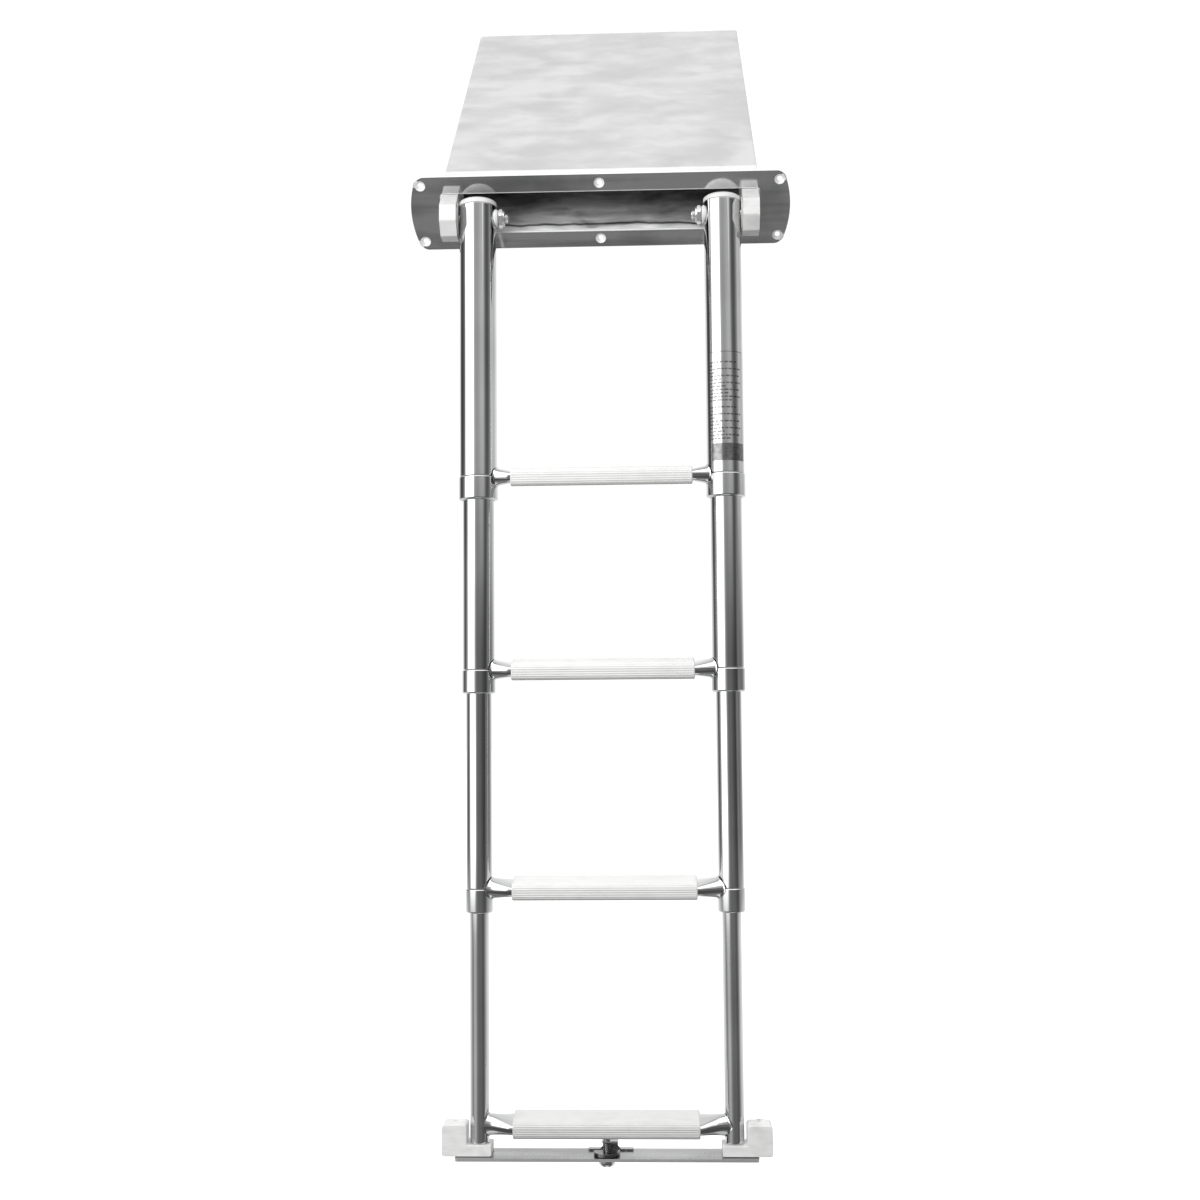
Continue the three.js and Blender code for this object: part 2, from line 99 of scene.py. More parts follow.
def soften(points, radii, steps=5):
    """A closed outline with each corner turned into an arc; radii is one number or one per corner."""
    count = len(points)
    if not hasattr(radii, "__len__"):
        radii = [radii] * count
    outline = []
    for i, radius in enumerate(radii):
        corner = Vector(points[i])
        before = Vector(points[i - 1]) - corner
        after = Vector(points[(i + 1) % count]) - corner
        half = before.angle(after) / 2
        reach = min(radius / math.tan(half), before.length * 0.49, after.length * 0.49)
        if radius <= 0 or reach < 1e-4:
            outline.append(corner)
            continue
        start = corner + before.normalized() * reach
        end = corner + after.normalized() * reach
        middle = corner + (before.normalized() + after.normalized()).normalized() * (reach / math.cos(half))
        radius = (start - middle).length
        turn = (start - middle).angle(end - middle)
        for step in range(steps + 1):
            share = step / steps
            a = math.sin((1 - share) * turn) / math.sin(turn)
            b = math.sin(share * turn) / math.sin(turn)
            outline.append(middle + (start - middle) * a + (end - middle) * b)
    return outline


def quarter(steps, first=0):
    """Sine and cosine of evenly spaced angles through a quarter turn."""
    angles = [math.pi / 2 * step / steps for step in range(first, steps + 1)]
    return [(math.sin(angle), math.cos(angle)) for angle in angles]


def rectangle(half_width, half_height, radius, steps=5):
    w, h = half_width, half_height
    return soften([(-w, -h), (w, -h), (w, h), (-w, h)], radius, steps)


def resample(outline, count):
    """A closed outline as evenly spaced points."""
    points = [Vector(p) for p in outline]
    points.append(points[0])
    lengths = [(b - a).length for a, b in zip(points, points[1:])]
    total = sum(lengths)
    even = []
    edge = 0
    walked = 0.0
    for i in range(count):
        target = total * i / count
        while walked + lengths[edge] < target:
            walked += lengths[edge]
            edge += 1
        share = (target - walked) / lengths[edge]
        even.append(points[edge].lerp(points[edge + 1], share))
    return even


# ---- Solids: each returns (vertices, faces) ----


def lathe(outline, facets=SMALL):
    """What a closed (radius, z) outline sweeps round Z."""
    verts = []
    rings = []
    for radius, z in outline:
        if radius < 1e-6:
            rings.append([len(verts)] * facets)
            verts.append((0, 0, z))
            continue
        rings.append(list(range(len(verts), len(verts) + facets)))
        for i in range(facets):
            angle = 2 * math.pi * i / facets
            verts.append((radius * math.cos(angle), radius * math.sin(angle), z))
    faces = []
    for ring, above in zip(rings, rings[1:] + rings[:1]):
        for i in range(facets):
            j = (i + 1) % facets
            face = list(dict.fromkeys((ring[i], ring[j], above[j], above[i])))
            if len(face) > 2:
                faces.append(face)
    return verts, faces


def bar(radius, low, high, facets=SMALL):
    """A plain round bar along Z, for cutting bores and seats."""
    return lathe([(0, low), (radius, low), (radius, high), (0, high)], facets)


def grid(loops, closed=True):
    """Joins equal loops of points into a skin; closed joins the last loop to the first, or else caps."""
    width = len(loops[0])
    verts = [tuple(point) for loop in loops for point in loop]
    faces = []
    for k in range(len(loops) if closed else len(loops) - 1):
        near = k * width
        far = (k + 1) % len(loops) * width
        for i in range(width):
            j = (i + 1) % width
            faces.append((near + i, near + j, far + j, far + i))
    if not closed:
        faces.append(tuple(range(width)))
        faces.append(tuple(range((len(loops) - 1) * width, len(verts))))
    return verts, faces


def prism(outline, low, high, axes="XYZ"):
    """An outline in the first two axes, reaching from low to high along the third."""
    order = ["XYZ".index(axis) for axis in axes]
    loops = []
    for depth in (low, high):
        loop = []
        for u, v in outline:
            point = [0, 0, 0]
            for axis, value in zip(order, (u, v, depth)):
                point[axis] = value
            loop.append(point)
        loops.append(loop)
    return grid(loops, closed=False)


def sweep(path, radius, facets=16):
    """A round wire along a list of points, with its ends closed."""
    points = [Vector(p) for p in path]
    loops = []
    side = None
    for i, point in enumerate(points):
        along = (points[min(i + 1, len(points) - 1)] - points[max(i - 1, 0)]).normalized()
        side = along.orthogonal() if side is None else side - along * side.dot(along)
        side.normalize()
        up = along.cross(side)
        turns = [2 * math.pi * k / facets for k in range(facets)]
        loops.append([point + (side * math.cos(a) + up * math.sin(a)) * radius for a in turns])
    return grid(loops, closed=False)


# ---- Turning solids into objects ----


def mesh_object(name, solid, place=HERE):
    verts, faces = solid
    mesh = bpy.data.meshes.new(name)
    mesh.from_pydata([(place @ Vector(v)) * MM for v in verts], [], faces)
    shape = bmesh.new()
    shape.from_mesh(mesh)
    bmesh.ops.recalc_face_normals(shape, faces=shape.faces)
    shape.to_mesh(mesh)
    shape.free()
    item = bpy.data.objects.new(name, mesh)
    bpy.context.scene.collection.objects.link(item)
    return item


def settle(item):
    """Replaces an object's mesh with what its modifiers make of it."""
    bpy.context.view_layer.update()
    graph = bpy.context.evaluated_depsgraph_get()
    item.data = bpy.data.meshes.new_from_object(item.evaluated_get(graph))
    item.modifiers.clear()


def combine(item, operation, *solids):
    """Joins an object with (solid, place) pairs, or cuts or intersects it with them."""
    tools = [mesh_object("tool", solid, place) for solid, place in solids]
    for tool in tools:
        step = item.modifiers.new("combine", "BOOLEAN")
        step.operation = operation
        step.solver = "EXACT"
        step.object = tool
    settle(item)
    for tool in tools:
        bpy.data.objects.remove(tool)


def round_edges(item, width, angle=40):
    step = item.modifiers.new("edges", "BEVEL")
    step.width = width * MM
    step.segments = 3
    step.limit_method = "ANGLE"
    step.angle_limit = math.radians(angle)
    settle(item)


def shade(item, angle=38, flat=None):
    """Smooth faces with sharp edges kept. Faces along the direction flat are framed by sharp edges."""
    shape = bmesh.new()
    shape.from_mesh(item.data)
    bmesh.ops.dissolve_degenerate(shape, dist=1e-7, edges=shape.edges)
    for face in shape.faces:
        face.smooth = True
    for edge in shape.edges:
        if len(edge.link_faces) == 2:
            edge.smooth = edge.calc_face_angle() < math.radians(angle)
            if flat is not None:
                level = [face.normal.dot(flat) > 0.9999 for face in edge.link_faces]
                edge.smooth = edge.smooth and level[0] == level[1]
    shape.to_mesh(item.data)
    shape.free()
    step = item.modifiers.new("normals", "WEIGHTED_NORMAL")
    step.keep_sharp = True
    settle(item)


def piece(name, item, look, body, nodes=()):
    """Names a finished object, and gives it its look, body and the CAD nodes it stands for."""
    item.name = name
    item.data.name = name
    if not item.data.materials:
        item.data.materials.append(look)
    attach(item, body)
    if nodes:
        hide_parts(*nodes)


def second_look(item, looks, chosen):
    """Gives an object two looks; the faces for which chosen is true take the second."""
    for look in looks:
        item.data.materials.append(look)
    for face in item.data.polygons:
        if chosen(face):
            face.material_index = 1


def stand_in(node, item, look, body):
    """A finished object that stands for one CAD node."""
    piece(f"{node}_fine", item, look, body, [node])


def fine(node, solid, look, body, place=HERE, cuts=(), edges=0.0):
    """A finished piece that stands for one CAD node: cut, its edges rounded, then shaded."""
    item = mesh_object(node, solid, place)
    if cuts:
        combine(item, "DIFFERENCE", *[(cut, place) for cut in cuts])
    if edges:
        round_edges(item, edges)
    shade(item)
    stand_in(node, item, look, body)


# ---- Materials ----


def add_node(tree, kind, inputs=None, **settings):
    """Adds a shader node; an input that is another node's output is linked."""
    node = tree.nodes.new(kind)
    for key, value in settings.items():
        setattr(node, key, value)
    for key, value in (inputs or {}).items():
        put(tree, node.inputs[key], value)
    return node


def put(tree, socket, value):
    if isinstance(value, bpy.types.NodeSocket):
        tree.links.new(value, socket)
    else:
        socket.default_value = value


class Look:
    """A node material under construction."""

    def __init__(self, name):
        self.material = bpy.data.materials.new(name)
        self.material.use_nodes = True
        self.tree = self.material.node_tree
        self.shader = self.tree.nodes["Principled BSDF"]

    def add(self, kind, inputs=None, **settings):
        return add_node(self.tree, kind, inputs, **settings)

    def position(self, stretch=(1, 1, 1)):
        """Places on the object, in metres, stretched along its axes."""
        place = self.add("ShaderNodeTexCoord")
        mapping = self.add("ShaderNodeMapping", {"Vector": place.outputs["Object"], "Scale": stretch})
        return mapping.outputs["Vector"]

    def noise(self, scale, detail=3.0, stretch=(1, 1, 1), distortion=0.0):
        inputs = {"Vector": self.position(stretch), "Scale": scale, "Detail": detail}
        inputs["Distortion"] = distortion
        return self.add("ShaderNodeTexNoise", inputs).outputs["Fac"]

    def depth(self):
        """How far into the cassette a place is, in metres."""
        inward = tuple(CASSETTE.col[1].xyz.normalized())
        inputs = {0: self.position(), 1: inward}
        return self.add("ShaderNodeVectorMath", inputs, operation="DOT_PRODUCT").outputs["Value"]

    def spread(self, value, low, high, start=0.3, stop=0.7):
        """Maps start..stop of a 0 to 1 texture onto low..high."""
        inputs = {"Value": value, "From Min": start, "From Max": stop, "To Min": low, "To Max": high}
        return self.add("ShaderNodeMapRange", inputs).outputs["Result"]

    def sum(self, first, second, operation="ADD"):
        return self.add("ShaderNodeMath", {0: first, 1: second}, operation=operation).outputs["Value"]

    def product(self, first, second):
        return self.sum(first, second, "MULTIPLY")

    def grey(self, value, tint):
        """A colour of one brightness with a slight tint."""
        parts = [self.product(value, part) for part in tint]
        inputs = dict(zip(("Red", "Green", "Blue"), parts))
        return self.add("ShaderNodeCombineColor", inputs).outputs["Color"]

    def bump(self, height, distance, under=None):
        inputs = {"Height": height, "Distance": distance}
        if under is not None:
            inputs["Normal"] = under
        return self.add("ShaderNodeBump", inputs).outputs["Normal"]

    def finish(self, tone, roughness, normal=None, tint=(1.0, 1.0, 1.0), **sockets):
        """The material, from its tone, roughness, bumps and any other sockets of the shader."""
        sockets["Base_Color"] = self.grey(tone, tint)
        sockets["Roughness"] = roughness
        if normal is not None:
            sockets["Normal"] = normal
        for key, value in sockets.items():
            put(self.tree, self.shader.inputs[key.replace("_", " ")], value)
        return self.material


def steel(name, tone, rough, wave, wave_scale, grain, grain_depth=2e-6, stains=0.08, matte=0.0):
    """Polished stainless: uneven polish, grain along the piece, slow waves in the sheet or tube."""
    look = Look(name)
    cloud = look.noise(14, 4)
    smear = look.noise(55, 3, stretch=grain, distortion=0.4)
    fine_grain = look.noise(420, 2, stretch=grain)
    specks = look.noise(900, 1)
    dirt = look.product(cloud, smear)
    colour = look.spread(dirt, tone - stains, tone + stains * 0.4, 0.15, 0.34)
    roughness = look.spread(look.sum(look.sum(smear, fine_grain), specks), rough[0], rough[1], 1.0, 2.1)
    waves = look.bump(look.noise(wave_scale, 2, distortion=0.3), wave)
    scratches = look.bump(fine_grain, grain_depth, under=waves)
    tint = (0.995, 1.0, 1.005)
    return look.finish(colour, roughness, scratches, tint, Metallic=1.0 - matte)


def plastic(name, tone, rough, mottle, bump_depth, speck=600):
    """Moulded or extruded white plastic: faint cloudy staining, satin skin, very fine texture."""
    look = Look(name)
    cloud = look.noise(38, 5, distortion=0.6)
    marks = look.noise(150, 3, stretch=(0.35, 1, 1))
    skin = look.noise(speck, 3)
    colour = look.spread(look.product(cloud, marks), tone, tone - mottle, 0.2, 0.42)
    roughness = look.spread(skin, rough - 0.06, rough + 0.08)
    normal = look.bump(skin, bump_depth)
    tint = (1.0, 0.998, 0.99)
    return look.finish(colour, roughness, normal, tint, IOR=1.5)


# Stretches that draw a texture's grain out along one axis.
ALONG_Z = (1, 1, 0.06)
ALONG_X = (0.06, 1, 1)
ALONG_Y = (1, 0.06, 1)
HIGHLIGHT_STRIP = 0.053  # how far behind the flange the box's sheet gets a painted highlight strip
DARK_LINE_DEPTH = 0.012  # depth of the dark wavy mark on the box's inside
DARK_LINE_WANDER = 0.03  # how far it wanders in all


def sheet_look():
    """Dull rolled sheet, with a painted highlight: a bright strip on the box next to the flange weld."""
    look = Look("sheet_steel")
    cloud = look.noise(11, 7, distortion=0.3)
    smear = look.noise(34, 8, stretch=(0.6, 1, 1), distortion=0.3)
    fine_grain = look.noise(420, 2, stretch=ALONG_Y)
    colour = look.spread(look.product(cloud, smear), 0.68, 0.8, 0.15, 0.34)
    # Painted highlight: a bright strip on the sheet next to the flange.
    sheet_highlight = look.spread(look.depth(), 1, 0, HIGHLIGHT_STRIP, HIGHLIGHT_STRIP + 0.002)
    colour = look.sum(colour, look.product(sheet_highlight, 0.34))
    roughness = look.spread(look.sum(smear, fine_grain), 0.36, 0.52, 0.7, 1.3)
    waves = look.bump(look.noise(12, 2, distortion=0.3), 1.5e-4)
    normal = look.bump(fine_grain, 6e-6, under=waves)
    return look.finish(colour, roughness, normal, Metallic=1.0)


def inner_look():
    """The box's inside: painted shade that deepens further in, a dark wavy line, smeared patches, and
    painted light near the mouth.
    """
    look = Look("inner_steel")
    depth = look.depth()
    cloud = look.noise(24, 4, distortion=0.6)
    smear = look.noise(30, 3, stretch=(0.3, 1, 1), distortion=1.5)
    # Painted shade: the inside is darker further into the box.
    deep_shade = look.spread(look.sum(depth, look.product(cloud, 0.04)), 1.0, 0.42, 0.03, 0.09)
    patches = look.spread(look.product(cloud, smear), 0.5, 1.6, 0.15, 0.36)
    # A dark wavy line painted on the inside at one depth, wandering a little.
    wander = look.product(look.noise(14, 3, stretch=(1, 0, 0)), DARK_LINE_WANDER)
    average = DARK_LINE_DEPTH + DARK_LINE_WANDER / 2
    offset = look.sum(look.sum(look.sum(depth, wander), average, "SUBTRACT"), 0, "ABSOLUTE")
    dark_line = look.spread(offset, 0.14, 1, 0.001, 0.004)
    # Painted light: the inside is lighter just behind the mouth.
    near = look.spread(depth, 1.25, 1, 0.004, 0.01)
    colour = deep_shade
    for factor in (patches, dark_line, near):
        colour = look.product(colour, factor)
    roughness = look.spread(smear, 0.3, 0.5)
    waves = look.bump(look.noise(12, 2, distortion=0.3), 1.2e-3)
    normal = look.bump(smear, 2e-4, under=waves)
    return look.finish(colour, roughness, normal, Metallic=0.3)


tube_steel = steel("tube_steel", 0.72, (0.03, 0.09), 2.5e-5, 16, ALONG_Z)
rung_steel = steel("rung_steel", 0.74, (0.04, 0.1), 1.5e-5, 30, ALONG_X)
flange_steel = steel("flange_steel", 0.68, (0.05, 0.2), 1.6e-4, 22, ALONG_X, stains=0.24)
# Brighter, matte steel for the flange's edges, countersinks and rolled lip: a painted highlight.
edge_highlight_steel = steel("edge_highlight_steel", 0.98, (0.28, 0.4), 2e-5, 60, ALONG_X, stains=0.04, matte=0.8)
plate_steel = steel("plate_steel", 0.4, (0.2, 0.34), 2e-4, 14, ALONG_X, 4e-6, stains=0.12)
bracket_steel = steel("bracket_steel", 0.62, (0.1, 0.22), 2e-5, 60, ALONG_Z, stains=0.16, matte=0.25)
bolt_steel = steel("bolt_steel", 0.86, (0.16, 0.3), 2e-5, 60, ALONG_X, matte=0.3)
# The latch steel's near-black tone is painted shade and painted dark reflection on the latch parts.
latch_steel = steel("latch_steel", 0.24, (0.16, 0.3), 4e-5, 60, ALONG_Z, stains=0.1)
weld_steel = steel("weld_steel", 1.0, (0.16, 0.3), 1e-4, 160, ALONG_X, stains=0.02, matte=0.3)
sheet_steel = sheet_look()
inner_steel = inner_look()
nylon = plastic("white_nylon", 0.87, 0.4, 0.14, 1.2e-5)
vinyl = plastic("white_vinyl", 0.83, 0.48, 0.05, 6e-6, 900)
# Darker vinyl for the lowest tread: painted shade.
shaded_vinyl = plastic("shaded_vinyl", 0.75, 0.48, 0.06, 6e-6, 900)


# ---- Cassette ----

FLANGE = {"half_width": 197, "half_height": 40, "thick": 3, "hole_x": 185, "hole_z": 30.5}
HOLE_RADIUS = 2.6
SINK_RADIUS = 5.2
MOUTH = {"half_width": 164, "half_height": 21}
LIP_ROLL = 1.3  # how far the mouth's front edge is rolled over
BOX = {"length": 500, "corner": 2.6, "inner_corner": 1.2}
WELD_LEG = 3.0
WALL = 1.5
GAP = 0.3


def flange_outline():
    """Long straight edges, rounded corners and shallow arcs at both ends."""
    h, w = FLANGE["half_height"], FLANGE["half_width"]
    end = []
    for i in range(-6, 7):
        share = i / 6
        end.append((w - 6.2 * share**2, share * (h - 5)))
    right = [(w - 12, -h)] + end + [(w - 12, h)]
    left = [(-x, -z) for x, z in right]
    corners = right + left
    radii = [14 if abs(z) == h else (7 if abs(z) == h - 5 else 0) for _, z in corners]
    return soften(corners, radii, 8)


def mouth_tool(round_over):
    """Cuts the mouth through the flange and rolls its front edge over."""
    w, h, t = MOUTH["half_width"], MOUTH["half_height"], FLANGE["thick"]
    depths = [(5, 0), (round_over - t, 0)]
    for s, c in quarter(6, 1):
        depths.append((round_over * (1 - s) - t, round_over * (1 - c)))
    depths.append((-t - 5, round_over))
    loops = []
    for depth, out in depths:
        loop = resample(rectangle(w + out, h + out, 1.8 + out, 6), 320)
        loops.append([(x, depth, z) for x, z in loop])
    return grid(loops, closed=False)


def flange_plate():
    t = FLANGE["thick"]
    item = mesh_object("flange", prism(flange_outline(), -t, 0, "XZY"), CASSETTE)
    round_edges(item, 0.6, 50)
    sink = SINK_RADIUS - HOLE_RADIUS
    screw_hole = lathe([
        (0, -2), (HOLE_RADIUS, -2), (HOLE_RADIUS, t - sink), (SINK_RADIUS - 0.3, t - 0.3),
        (SINK_RADIUS - 0.1, t - 0.06), (SINK_RADIUS + 0.2, t), (SINK_RADIUS + 0.2, t + 1), (0, t + 1),
    ])
    spots = []
    for x in (-FLANGE["hole_x"], 0, FLANGE["hole_x"]):
        for z in (-FLANGE["hole_z"], FLANGE["hole_z"]):
            spots.append(CASSETTE @ at(x, 0, z) @ Matrix.Rotation(math.pi / 2, 4, "X"))
    holes = [(screw_hole, spot) for spot in spots]
    combine(item, "DIFFERENCE", (mouth_tool(LIP_ROLL), CASSETTE), *holes)
    front = (CASSETTE @ Vector((0, -1, 0))).normalized()
    shade(item, flat=front)
    back = CASSETTE.inverted()
    hole_middles = [spot @ Vector((0, 0, t / 2)) for spot in spots]

    def highlight_face(face):
        """Edges, countersinks and the rolled lip, which take a brighter, matte steel than the front: a
        painted highlight.
        """
        middle = face.center / MM
        seen = back @ middle
        near_hole = min((middle - hole).length for hole in hole_middles) < SINK_RADIUS + 0.6
        in_width = abs(seen.x) < MOUTH["half_width"] + LIP_ROLL
        in_height = abs(seen.z) < MOUTH["half_height"] + LIP_ROLL
        facing = face.normal.dot(front)
        return near_hole or facing < 0.5 or (in_width and in_height and facing < 0.995)

    second_look(item, (flange_steel, edge_highlight_steel), highlight_face)
    stand_in("flange_plate", item, flange_steel, "cassette")


def cassette_shell():
    """The folded box, dull outside and polished inside."""
    low, high = GAP, BOX["length"]
    w, h = MOUTH["half_width"], MOUTH["half_height"]
    outer = prism(rectangle(w + WALL, h + WALL, BOX["corner"]), low, high, "XZY")
    inner = prism(rectangle(w, h, BOX["inner_corner"]), low - 5, high + 5, "XZY")
    item = mesh_object("shell", outer, CASSETTE)
    combine(item, "DIFFERENCE", (inner, CASSETTE))
    round_edges(item, 0.25, 60)
    shade(item, 30)
    back = CASSETTE.inverted()

    def inside(face):
        middle = back @ (face.center / MM)
        return abs(middle.x) < w + 0.4 and abs(middle.z) < h + 0.4

    second_look(item, (sheet_steel, inner_steel), inside)
    stand_in("cassette_shell", item, sheet_steel, "cassette")


def mouth_weld():
    """The polished fillet where the box meets the back of the flange."""
    w, h = MOUTH["half_width"] + WALL, MOUTH["half_height"] + WALL
    loops = []
    for s, c in quarter(6):
        out = WELD_LEG * (1 - s) + 0.2
        deep = WELD_LEG * (1 - c) + GAP
        loop = resample(rectangle(w + out, h + out, BOX["corner"] + out, 8), 240)
        loops.append([(x, deep, z) for x, z in loop])
    inside = resample(rectangle(w + 0.15, h + 0.15, 2.7, 8), 240)
    loops.append([(x, GAP, z) for x, z in inside])
    item = mesh_object("weld", grid(loops), CASSETTE)
    shade(item, 50)
    piece("mouth_weld", item, weld_steel, "cassette")


def rear_panel():
    w, h = MOUTH["half_width"] + WALL, MOUTH["half_height"] + WALL
    near = BOX["length"] + GAP
    panel = prism(rectangle(w, h, BOX["corner"]), near, near + WALL, "XZY")
    fine("cassette_rear_panel", panel, sheet_steel, "cassette", CASSETTE, edges=0.5)


# ---- Swing pivots ----

BLOCK = {"inner": 146.5, "outer": 163.5, "half_height": 20.5, "nose": 9.0, "back": 63}
# Distances along a pivot bolt are from the middle plane of the ladder.
BOLT = {"radius": 5, "tip": 94.5, "head_face": 156.3, "head": 6, "across": 16.4, "hole": 5.3}
THREAD = {"end": 106, "pitch": 1.5}
WASHER_BORE = 5.4


def bolt_axis(side):
    """Lays a piece turned about Z along a pivot bolt, away from the middle plane."""
    return Matrix.Translation(PIVOT) @ Matrix.Rotation(side * math.pi / 2, 4, "Y")


def hexagon(across):
    radius = across / 2 / math.cos(math.pi / 6)
    turns = [math.pi / 3 * k + math.pi / 6 for k in range(6)]
    return [(radius * math.cos(a), radius * math.sin(a)) for a in turns]


def hexed(name, across, low, high, place, bore=0.0):
    """A hexagon along Z whose corners are turned off at both ends."""
    item = mesh_object(name, prism(hexagon(across), low, high), place)
    corner = across / 2 / math.cos(math.pi / 6) + 0.05
    flat = across / 2 - 0.3
    drop = (corner - flat) * 0.6
    inner = 2 * flat - corner
    barrel = lathe([
        (0, low - drop), (inner, low - drop), (corner, low + drop),
        (corner, high - drop), (inner, high + drop), (0, high + drop),
    ])
    combine(item, "INTERSECT", (barrel, place))
    if bore:
        combine(item, "DIFFERENCE", (bar(bore, low - 5, high + 5), place))
    return item


def pivot_block(side_name, side):
    h, n, back = BLOCK["half_height"], BLOCK["nose"], BLOCK["back"]
    corners = [(-n, -h), (back, -h), (back, h), (-n, h), (-h, n), (-h, -n)]
    outline = soften(corners, [2.2, 3, 3, 2.2, 3, 3])
    low, high = sorted((side * BLOCK["inner"], side * BLOCK["outer"]))
    place = Matrix.Translation(PIVOT) @ CASSETTE
    bore = bar(BOLT["hole"], 80, 180)
    seat = bar(10.5, 156, 170)
    item = mesh_object("block", prism(outline, low, high, "YZX"), place)
    turned = place @ Matrix.Rotation(side * math.pi / 2, 4, "Y")
    combine(item, "DIFFERENCE", (bore, turned), (seat, turned))
    round_edges(item, 0.9, 35)
    shade(item)
    stand_in(f"pivot_block_{side_name}", item, nylon, "cassette")


def pivot_fasteners(side_name, side):
    place = bolt_axis(side)
    low, high = box_mm(f"thrust_washer_{side_name}")
    near, far = sorted((abs(low.x), abs(high.x)))
    bore = WASHER_BORE
    washer = lathe(soften([(bore, near), (17, near), (17, far), (bore, far)], 0.2, 3))
    fine(f"thrust_washer_{side_name}", washer, nylon, "cassette", place)

    radius, tip, head_face = BOLT["radius"], BOLT["tip"], BOLT["head_face"]
    profile = [(0, tip), (radius - 1.2, tip)]
    z = tip + 0.8
    while z < THREAD["end"]:
        profile += [(radius - 0.75, z), (radius, z + 0.55), (radius, z + 0.75)]
        z += THREAD["pitch"]
    profile += [(radius, head_face + 1), (0, head_face + 1)]
    head = hexed("head", BOLT["across"], head_face, head_face + BOLT["head"], place)
    combine(head, "UNION", (lathe(profile), place))
    shade(head, 32)
    stand_in(f"pivot_bolt_{side_name}", head, bolt_steel, "cassette")

    hole = BOLT["hole"]
    nut = hexed("nut", 17, 99.8, 104.4, place, bore=hole)
    ring = lathe(soften([(hole, 98), (7.4, 98), (7.9, 100.2), (hole, 100.2)], [0.3, 0.8, 0, 0]))
    combine(nut, "UNION", (ring, place))
    shade(nut, 32)
    stand_in(f"pivot_nut_{side_name}", nut, bolt_steel, "cassette")


def saddle_washer(side_name, side):
    rail_low, rail_high = box_mm(f"upper_rail_{side_name}")
    rail_x = abs(rail_low.x + rail_high.x) / 2
    rail_radius = (rail_high.x - rail_low.x) / 2
    place = bolt_axis(side)
    bore = WASHER_BORE
    disc = [(bore, 104.8), (8.6, 104.8), (9.9, 107), (9.9, rail_x - 6), (bore, rail_x - 6)]
    item = mesh_object("saddle", lathe(soften(disc, [0.2, 0.8, 0.8, 0, 0]), ROUND), place)
    seat = bar(rail_radius + GAP, -30, 30, ROUND)
    seat_place = Matrix.Translation(PIVOT + Vector((side * rail_x, 0, 0)))
    combine(item, "DIFFERENCE", (seat, seat_place))
    shade(item)
    stand_in(f"saddle_washer_{side_name}", item, nylon, "upper_section")


# ---- Sections ----


def rail_facts(section, side_name="right"):
    """Axis, radius and ends of a rail, from its CAD node."""
    low, high = box_mm(f"{section}_rail_{side_name}")
    middle = (low + high) / 2
    return {
        "x": middle.x, "y": middle.y, "axis": at(middle.x, middle.y), "radius": (high.x - low.x) / 2,
        "foot": low.z, "top": high.z,
    }


def rail(section, side_name):
    facts = rail_facts(section, side_name)
    r, foot, top = facts["radius"], facts["foot"], facts["top"]
    if section == "lower":
        corners = [(3.3, foot), (r, foot), (r, top), (r - WALL, top), (r - WALL, foot + 3), (3.3, foot + 3)]
        radii = [0.2, 0.7, 0.5, 0.3, 0.5, 0.2]
    else:
        corners = [(r - WALL, foot), (r, foot), (r, top), (r - WALL, top)]
        radii = [0.2, 0.8, 0.5, 0.3]
    item = mesh_object("rail", lathe(soften(corners, radii), ROUND), facts["axis"])
    if section == "upper":
        bore = bar(BOLT["hole"], -60, 60)
        spot = at(facts["x"], PIVOT.y, PIVOT.z) @ Matrix.Rotation(math.pi / 2, 4, "Y")
        combine(item, "DIFFERENCE", (bore, spot))
    shade(item)
    stand_in(f"{section}_rail_{side_name}", item, tube_steel, BODIES[section])


def collar(section, below, side_name):
    low, high = box_mm(f"{section}_collar_{side_name}")
    facts = rail_facts(section, side_name)
    outer = (high.x - low.x) / 2
    inner = facts["radius"] - WALL
    lip = rail_facts(below, side_name)["radius"] + 0.4
    corners = [
        (lip, low.z), (outer, low.z), (outer, high.z), (inner, high.z),
        (inner, low.z + 2), (lip, low.z + 2),
    ]
    radii = [0.5, 3.2, 2.2, 0.2, 0.4, 0.2]
    ring = lathe(soften(corners, radii, 8), ROUND)
    fine(f"{section}_collar_{side_name}", ring, tube_steel, BODIES[section], facts["axis"])


def sleeve(node, section):
    """A plain nylon ring between two rails: a guide bushing or a glide ring."""
    low, high = box_mm(node)
    middle = (low + high) / 2
    outer = (high.x - low.x) / 2
    corners = [(outer - 1.05, low.z), (outer, low.z), (outer, high.z), (outer - 1.05, high.z)]
    place = at(middle.x, middle.y)
    fine(node, lathe(soften(corners, 0.3, 3), 96), nylon, BODIES[section], place)


def rail_cap(side_name):
    low, high = box_mm(f"rail_cap_{side_name}")
    facts = rail_facts("upper", side_name)
    r = facts["radius"]
    seat = facts["top"] + GAP
    plug = r - WALL - GAP
    brim = seat + 4
    corners = [(0, low.z), (plug, low.z), (plug, seat), (r + 0.25, seat), (r + 0.25, brim)]
    radii = [0, 1, 0.2, 0.5, 1.6]
    dome_rise = high.z - brim
    for s, c in quarter(9, 1):
        corners.append(((r - 0.6) * c, brim + dome_rise * s))
        radii.append(0)
    corners[-1] = (0, high.z)
    cap = lathe(soften(corners, radii), ROUND)
    fine(f"rail_cap_{side_name}", cap, nylon, "upper_section", facts["axis"])


# ---- Rungs and treads ----

RUNG = {"depth": 16.7, "height": 6.5, "power": 0.62, "end_depth": 12, "end_height": 10.5}
TAPER = (93, 113)  # where a rung turns from oval to round, from the middle
TREAD = {"half_width": 92, "half_depth": 18.5, "half_height": 9, "corner": 6.2}
RIB_PITCH = 2.35
RIB_GROOVE = 0.42


